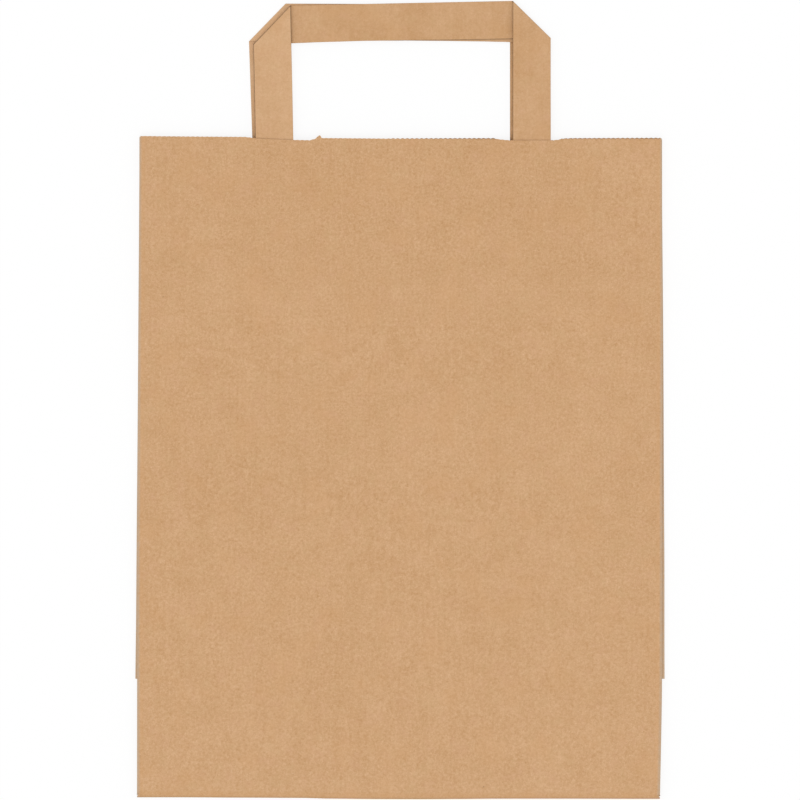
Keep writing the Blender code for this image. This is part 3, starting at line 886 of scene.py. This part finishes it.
class Sack(PaperPiece):
    """The sack: one sheet, gusseted, with a block bottom folded up behind it."""

    def __init__(self, relief: Relief, sizes: SackSizes) -> None:
        """Name the sack and take its sizes.

        Args:
            relief: How the bag's plies lie.
            sizes: The sack's finer sizes.
        """
        super().__init__("bag_body", "sack_sheet", relief)
        self.sizes = sizes

    def build(self, frame: dict) -> None:
        """Model the sheet.

        Args:
            frame: The loaded frame.
        """
        low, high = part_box(self.node)
        self.copy_of_node(frame)
        lines = self.grid(low, high, self.sizes.cell)
        for inset in self.sizes.crease_lines:
            lines.append((Vector((0, low.y + inset, 0)), Vector((0, 1, 0))))
            lines += [(Vector((side.value * (self.relief.half_width - inset), 0, 0)), Vector((1, 0, 0)))
                      for side in Side]
        self.divide(lines)
        self.tear()
        self.store("crease", self.wear_and_sheen)
        self.store("tone", self.tone)
        self.store("painted_edge_shade", self.painted_foot_shade)
        self.lay()

    def tear(self) -> None:
        """Pull a small torn tuft out of the front panel's cut edge."""
        mesh = self.item.data
        first, last = self.sizes.tuft_x
        self.start_edit()
        bpy.ops.mesh.select_all(action="DESELECT")
        bpy.ops.object.mode_set(mode="OBJECT")
        chosen = [face for face in mesh.polygons
                  if face.normal.y > self.sizes.facing and face.center.y > self.sizes.mouth_low
                  and face.center.z > self.sizes.front_low and first < face.center.x < last]
        for face in chosen:
            face.select = True
        centre = sum((face.center for face in chosen), Vector()) / len(chosen)
        bpy.ops.object.mode_set(mode="EDIT")
        for aside, ahead, width in self.sizes.tuft_steps:
            bpy.ops.mesh.extrude_region_move(TRANSFORM_OT_translate={"value": (aside, ahead, 0.0)})
            centre += Vector((aside, ahead, 0.0))
            bpy.ops.transform.resize(value=(width, 1.0, self.sizes.tuft_thinning), center_override=centre)
        self.end_edit()

    def wear_and_sheen(self, place: Vector) -> float:
        """Crease mask of the sheet, for its fold noses greyed by rubbing and by painted sheen: full on the
        panel's side folds, half on the bottom fold, none 3 mm away.
        """
        reach = self.sizes.crease_lines[-1] - self.sizes.crease_edge
        beside = 1.0 - (self.relief.half_width - abs(place.x) - self.sizes.crease_edge) / reach
        above = 1.0 - (place.y - self.relief.foot - self.sizes.crease_edge) / reach
        return max(0.0, min(1.0, beside), min(self.sizes.foot_crease_share, above))

    def painted_foot_shade(self, place: Vector) -> float:
        """Painted shade: a dark line along the bottom fold, where it turns away from the light."""
        above_foot = place.y - self.relief.foot
        return self.sizes.foot_shade_depth * (1.0 - eased(above_foot, self.sizes.foot_shade_band))

    def tone(self, place: Vector) -> float:
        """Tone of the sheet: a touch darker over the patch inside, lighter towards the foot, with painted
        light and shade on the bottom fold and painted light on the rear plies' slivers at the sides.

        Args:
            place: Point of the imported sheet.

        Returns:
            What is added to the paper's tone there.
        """
        sizes = self.sizes
        over = eased(place.y, sizes.patch_low) * (1.0 - eased(abs(place.x - sizes.patch_x), sizes.patch_span))
        above_foot = place.y - self.relief.foot
        # Painted light on the bottom fold's rounding, and painted shade where it turns under
        band_start, band_end = sizes.foot_band
        band = eased(above_foot, band_start) * (1.0 - eased(above_foot, band_end))
        tone = sizes.foot_band_painted_light * band + sizes.foot_painted_shade * (1.0 - eased(above_foot, sizes.foot_low))
        tone += sizes.foot_light_tone * eased(-place.y, sizes.foot_light) + sizes.patch_tone * over
        # Painted light on the rear plies at the sides, which lie in shade
        if place.z < sizes.sliver_top:
            tone += sizes.sliver_painted_light * eased(abs(place.x), sizes.sliver)
        return tone


class Patch(PaperPiece):
    """Patch glued over a handle's feet on the inside of its panel."""

    cell = 0.0042

    def build(self, frame: dict) -> None:
        """Model the patch.

        Args:
            frame: The loaded frame.
        """
        low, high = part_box(self.node)
        self.copy_of_node(frame)
        self.divide(self.grid(low, high, self.cell))
        for layer in ("crease", "tone", "painted_edge_shade"):
            self.store(layer, lambda place: 0.0)
        self.lay()


@dataclass(frozen=True)
class Leg:
    """One leg of a handle: where its centre line starts and where the strip turns over."""

    foot: tuple[float, float]
    corner: tuple[float, float]


@dataclass(frozen=True)
class RimShade:
    """Painted shade along a strip's long edges and at its folds' noses: a little on every edge, most where an
    edge lies on other paper and shade falls in the crevice.
    """

    free: float = 0.20
    left_outer: float = 0.20
    left_inner: float = 0.20
    right_inner: float = 0.20
    grip_low: float = 0.20
    left_fold: float = 0.12
    right_fold: float = 0.12


@dataclass(frozen=True)
class StripRun:
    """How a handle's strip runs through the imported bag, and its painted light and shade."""

    left: Leg
    right: Leg
    fold_height: float
    leg_above: int
    mouth_rise: float
    painted_light_tones: tuple[float, float, float]
    rim_shade: RimShade
    bow: tuple[tuple[float, float], ...]
    width: float = 0.0159
    thickness: float = 0.00036
    bend_radius: float = 0.00024
    chamfer: float = 0.00005
    pitch: float = 0.0022
    bend_cuts: int = 8
    edge_insets: tuple[float, ...] = (0.00020, 0.0012, 0.0030, 0.0050)
    edge_reach: float = 1.5
    grip_over: Span = (-0.0090, 0.0010)
    leg_over: Span = (-0.0008, 0.0006)


FRONT_RUN = StripRun(
    left=Leg(foot=(-0.05180, 0.06005), corner=(-0.05385, 0.15765)),
    right=Leg(foot=(0.05525, 0.06005), corner=(0.05525, 0.15990)),
    fold_height=0.00156,
    leg_above=1,
    mouth_rise=0.00116,
    # Painted light and shade: left leg lighter, grip and right leg darker
    painted_light_tones=(0.10, -0.065, -0.02),
    # Painted shade along the edges that lie on other paper and along the left fold's nose
    rim_shade=RimShade(left_outer=1.0, left_inner=1.0, right_inner=1.0, grip_low=0.9, left_fold=0.85),
    bow=((-0.0480, 0.0), (-0.0295, 0.00028), (-0.0144, 0.00042), (0.0020, 0.00020), (0.0300, 0.0)),
)
REAR_RUN = StripRun(
    left=Leg(foot=(-0.05250, 0.06005), corner=(-0.05590, 0.15870)),
    right=Leg(foot=(0.05408, 0.06005), corner=(0.05408, 0.15815)),
    fold_height=0.00042,
    leg_above=-1,
    mouth_rise=0.00054,
    # Painted light on the rear strip's left leg and grip, whose slivers lie in the front strip's shade;
    # painted shade on its right leg
    painted_light_tones=(0.26, 0.14, -0.10),
    rim_shade=RimShade(),
    bow=((-0.0480, 0.0), (-0.0144, 0.00044), (-0.0010, 0.00064), (0.0170, 0.00056), (0.0335, 0.00042),
         (0.0420, 0.00028), (0.0500, 0.0001)),
)


class Fold:
    """Turned-over corner of a strip: takes the straight strip's points round a small bend."""

    def __init__(self, run: StripRun, leg: Leg, other: Leg, side: Side) -> None:
        """Work out the crease between a leg and the grip.

        Args:
            run: The strip.
            leg: The leg that ends in this corner.
            other: The leg at the grip's other end.
            side: Which leg this is.
        """
        self.run = run
        self.corner = Vector(leg.corner)
        self.up = (self.corner - Vector(leg.foot)).normalized()
        self.inward = -side.value * Vector((self.up.y, -self.up.x))
        self.length = (self.corner - Vector(leg.foot)).length
        along = (Vector(other.corner) - self.corner).normalized()
        self.crease = (self.up + along).normalized()
        self.outward = (self.up - self.crease * self.up.dot(self.crease)).normalized()
        self.slant = Vector((self.inward.dot(self.crease), self.up.dot(self.crease)))
        self.normal = Vector((self.inward.dot(self.outward), self.up.dot(self.outward)))
        self.reach = run.bend_radius + run.thickness / 2

    def past(self, across: float, along: float) -> float:
        """Distance of a point of the straight strip beyond the crease."""
        return Vector((across, along - self.length)).dot(self.normal)

    def turned(self, across: float, along: float, height: float) -> Vector:
        """Place of a point of the straight strip once the corner is folded.

        Args:
            across: Place across the strip, positive on its inner side.
            along: Distance from the leg's foot.
            height: Height above the strip's middle plane.

        Returns:
            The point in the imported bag, beyond the mouth's slope.
        """
        on_crease = Vector((across, along - self.length)).dot(self.slant)
        past = self.past(across, along)
        radius = self.run.bend_radius + height
        if past <= -self.reach:
            out, turn = past, 0.0
        elif past >= self.reach:
            out, turn = -past, math.pi
        else:
            turn = math.pi * (past + self.reach) / (2.0 * self.reach)
            out = radius * math.sin(turn) - self.reach
        flat = self.corner + self.crease * on_crease + self.outward * out
        return Vector((flat.x, flat.y, self.run.fold_height + self.run.leg_above * radius * math.cos(turn)))


class Handle(PaperPiece):
    """Handle: one flat strip, folded over at 45 degrees at both corners."""

    def __init__(self, node: str, name: str, relief: Relief, run: StripRun) -> None:
        """Take the strip's run and work out its two folds.

        Args:
            node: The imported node.
            name: The new piece's name.
            relief: How the bag's plies lie.
            run: How the strip runs.
        """
        super().__init__(node, name, relief)
        self.run = run
        self.left = Fold(run, run.left, run.right, Side.LEFT)
        self.right = Fold(run, run.right, run.left, Side.RIGHT)
        self.grip = (Vector(run.right.corner) - Vector(run.left.corner)).length
        self.length = self.left.length + self.grip + self.right.length

    def build(self) -> None:
        """Model the strip straight, divide it, and fold it."""
        self.ribbon()
        self.store("crease", lambda place: 0.0)
        self.store("tone", self.tone)
        self.store("painted_edge_shade", self.painted_edge_shade)
        for vertex in self.item.data.vertices:
            vertex.co = self.folded(vertex.co)
        self.lay()
        self.start_edit()
        bpy.ops.mesh.normals_make_consistent(inside=False)
        self.end_edit()

    def ribbon(self) -> None:
        """Straight strip along Y from the left foot, with eased long edges."""
        bpy.ops.object.select_all(action="DESELECT")
        bpy.ops.mesh.primitive_cube_add(size=1.0, location=(0, 0, 0))
        self.item = bpy.context.object
        self.item.name = self.item.data.name = self.name
        self.start_edit()
        bpy.ops.transform.resize(value=(self.run.width, self.length, self.run.thickness))
        bpy.ops.transform.translate(value=(0, self.length / 2, 0))
        bpy.ops.mesh.select_mode(type="EDGE")
        bpy.ops.mesh.select_all(action="DESELECT")
        self.end_edit()
        mesh = self.item.data
        for edge in mesh.edges:
            first, last = (mesh.vertices[index].co for index in edge.vertices)
            edge.select = abs(last.y - first.y) > self.length / 2
        bpy.ops.object.mode_set(mode="EDIT")
        bpy.ops.mesh.bevel(offset=self.run.chamfer, segments=1)
        self.end_edit()
        self.divide(self.cuts())

    def cuts(self) -> list[tuple[Vector, Vector]]:
        """Planes that divide the straight strip: along it, across it, and round its two bends.

        Returns:
            Pairs of point and normal.
        """
        half = self.run.width / 2
        rows = round(self.length / self.run.pitch)
        planes = [(Vector((0, self.length * row / rows, 0)), Vector((0, 1, 0))) for row in range(1, rows)]
        for inset in self.run.edge_insets:
            planes += [(Vector((side.value * (half - inset), 0, 0)), Vector((1, 0, 0))) for side in Side]
        for fold, start, way in ((self.left, 0.0, 1.0), (self.right, self.length, -1.0)):
            normal = Vector((fold.normal.x, way * fold.normal.y, 0.0))
            corner = Vector((0.0, start + way * fold.length, 0.0))
            for step in range(self.run.bend_cuts + 1):
                past = fold.reach * (2.0 * step / self.run.bend_cuts - 1.0)
                planes.append((corner + normal * past, normal))
        return planes

    def nearest(self, place: Vector) -> tuple[Fold, float]:
        """Fold that governs a point of the straight strip, and the distance from that leg's foot."""
        if place.y < self.left.length + self.grip / 2:
            return self.left, place.y
        return self.right, self.length - place.y

    def folded(self, place: Vector) -> Vector:
        """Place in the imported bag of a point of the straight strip."""
        fold, along = self.nearest(place)
        point = fold.turned(place.x, along, place.z)
        before_loops = 1.0 - smooth_share(point.y, self.relief.mouth_end, self.relief.loop_start)
        point.z += self.run.mouth_rise * before_loops
        if fold.past(place.x, along) > 0.0:
            point.y += stepped(point.x, self.run.bow) * (0.5 - place.x / self.run.width)
        return point

    def painted_edge_shade(self, place: Vector) -> float:
        """Painted shade along the strip's long edges and at its folds' noses, where shade falls between the
        plies.

        Args:
            place: Point of the straight strip.

        Returns:
            A number from 0 to 1.
        """
        fold, along = self.nearest(place)
        past = fold.past(place.x, along)
        rim_shade = self.run.rim_shade
        nose = rim_shade.left_fold if fold is self.left else rim_shade.right_fold
        nose *= smooth_share(past, -fold.reach, -fold.reach / 3) * (1.0 - smooth_share(past, 0.0, fold.reach))
        if abs(place.x) < self.run.width / 2 - self.run.edge_reach * self.run.chamfer:
            return nose
        point = self.folded(place)
        if past > 0.0:
            over = eased(point.x, self.run.grip_over) if place.x < 0.0 else 0.0
            return rim_shade.free + (rim_shade.grip_low - rim_shade.free) * over
        if place.x < 0.0:
            return rim_shade.left_outer if fold is self.left else rim_shade.free
        if fold is self.right:
            return rim_shade.right_inner
        over = eased(point.y - self.relief.grip_low, self.run.leg_over)
        return rim_shade.free + (rim_shade.left_inner - rim_shade.free) * over

    def tone(self, place: Vector) -> float:
        """Painted light and shade of the strip's left leg, grip and right leg, for how each lies to the
        light.
        """
        fold, along = self.nearest(place)
        left, grip, right = self.run.painted_light_tones
        leg = left if fold is self.left else right
        return leg + (grip - leg) * smooth_share(fold.past(place.x, along), -fold.reach, fold.reach)


@dataclass
class Studio:
    """White floor, plain soft light and a camera that looks straight down."""

    lens: float = 250.0
    sensor: float = 36.0
    focus_height: float = 0.0025
    floor_size: float = 8.0
    floor_drop: float = 0.00003
    floor_glow: float = 0.84
    world_strength: float = 0.80
    sun_strength: float = 0.68
    sun_angle: float = 50.0
    sun_tilt: tuple[float, float] = (22.0, -8.0)

    def build(self) -> None:
        """Make the floor, the light and the camera."""
        self.floor()
        self.light()
        self.camera()
        bpy.context.scene.view_settings.view_transform = "Standard"

    def seen(self, graph: Graph) -> Tone:
        """Mask that is 1 where the camera sees, directly or through gloss."""
        ray = {name: graph.node("ShaderNodeLightPath", {}, {}, name)
               for name in ("Is Camera Ray", "Is Glossy Ray", "Is Transmission Ray")}
        return (ray["Is Camera Ray"] + ray["Is Glossy Ray"] + ray["Is Transmission Ray"]).band(0.0, 1.0)

    def floor(self) -> None:
        """White floor that keeps the bag's shadow."""
        bpy.ops.object.select_all(action="DESELECT")
        bpy.ops.mesh.primitive_plane_add(size=self.floor_size, location=(0, 0, -self.floor_drop))
        floor = bpy.context.object
        floor.name = "floor"
        bpy.ops.object.transform_apply(location=True, rotation=True, scale=True)
        graph = Graph(bpy.data.materials.new("white_floor"))
        matt = graph.node("ShaderNodeBsdfDiffuse", {}, {"Color": (1.0, 1.0, 1.0, 1.0)})
        glow = graph.node("ShaderNodeEmission", {}, {"Color": (1, 1, 1, 1), "Strength": 1.0})
        share = self.seen(graph) * self.floor_glow
        shown = graph.node("ShaderNodeMixShader", {}, {0: share, 1: matt, 2: glow})
        graph.node("ShaderNodeOutputMaterial", {}, {"Surface": shown})
        floor.data.materials.append(graph.owner)

    def light(self) -> None:
        """Even white surroundings, seen as white, and one broad soft lamp."""
        world = bpy.data.worlds.new("studio")
        bpy.context.scene.world = world
        graph = Graph(world)
        strength = self.seen(graph) * (1.0 - self.world_strength) + self.world_strength
        surroundings = graph.node("ShaderNodeBackground", {}, {"Color": (1, 1, 1, 1), "Strength": strength})
        graph.node("ShaderNodeOutputWorld", {}, {"Surface": surroundings})
        lamp = bpy.data.lights.new("soft_lamp", "SUN")
        lamp.energy = self.sun_strength
        lamp.angle = math.radians(self.sun_angle)
        holder = bpy.data.objects.new("soft_lamp", lamp)
        holder.rotation_euler = [math.radians(angle) for angle in (*self.sun_tilt, 0.0)]
        bpy.context.scene.collection.objects.link(holder)

    def camera(self) -> None:
        """Camera above the bag, framed as the photograph."""
        width = PHOTO_PIXELS * METRES_PER_PIXEL
        data = bpy.data.cameras.new("camera")
        data.sensor_width = self.sensor
        data.lens = self.lens
        distance = width * self.lens / self.sensor
        data.clip_start = distance / 10
        data.clip_end = distance * 10
        holder = bpy.data.objects.new("camera", data)
        holder.location = (*PHOTO_CENTRE, distance + self.focus_height)
        bpy.context.scene.collection.objects.link(holder)
        bpy.context.scene.camera = holder


def main() -> None:
    """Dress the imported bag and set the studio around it."""
    logging.basicConfig(level=logging.INFO, format="%(name)s: %(message)s")
    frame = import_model()
    body_low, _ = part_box("bag_body")
    relief = Relief(foot=body_low.y, half_width=HALF_WIDTH)
    sheet = Kraft("kraft_sheet").material()
    front, rear = (replace(STRIP_KRAFT, name=name, seed=seed).material()
                   for name, seed in (("kraft_front_strip", 31.0), ("kraft_rear_strip", 57.0)))
    sack = Sack(relief, SackSizes())
    sack.build(frame)
    sack.finish(sheet, Slot.SHEET)
    for node, name in (("front_handle_patch", "front_patch_sheet"),
                       ("rear_handle_patch", "rear_patch_sheet")):
        patch = Patch(node, name, relief)
        patch.build(frame)
        patch.finish(sheet, Slot.SHEET)
    for node, name, run, material in (("front_handle", "front_strip", FRONT_RUN, front),
                                      ("rear_handle", "rear_strip", REAR_RUN, rear)):
        strip = Handle(node, name, relief, run)
        strip.build()
        strip.finish(material, Slot.STRIP)
    Studio().build()


if __name__ == "__main__":
    main()
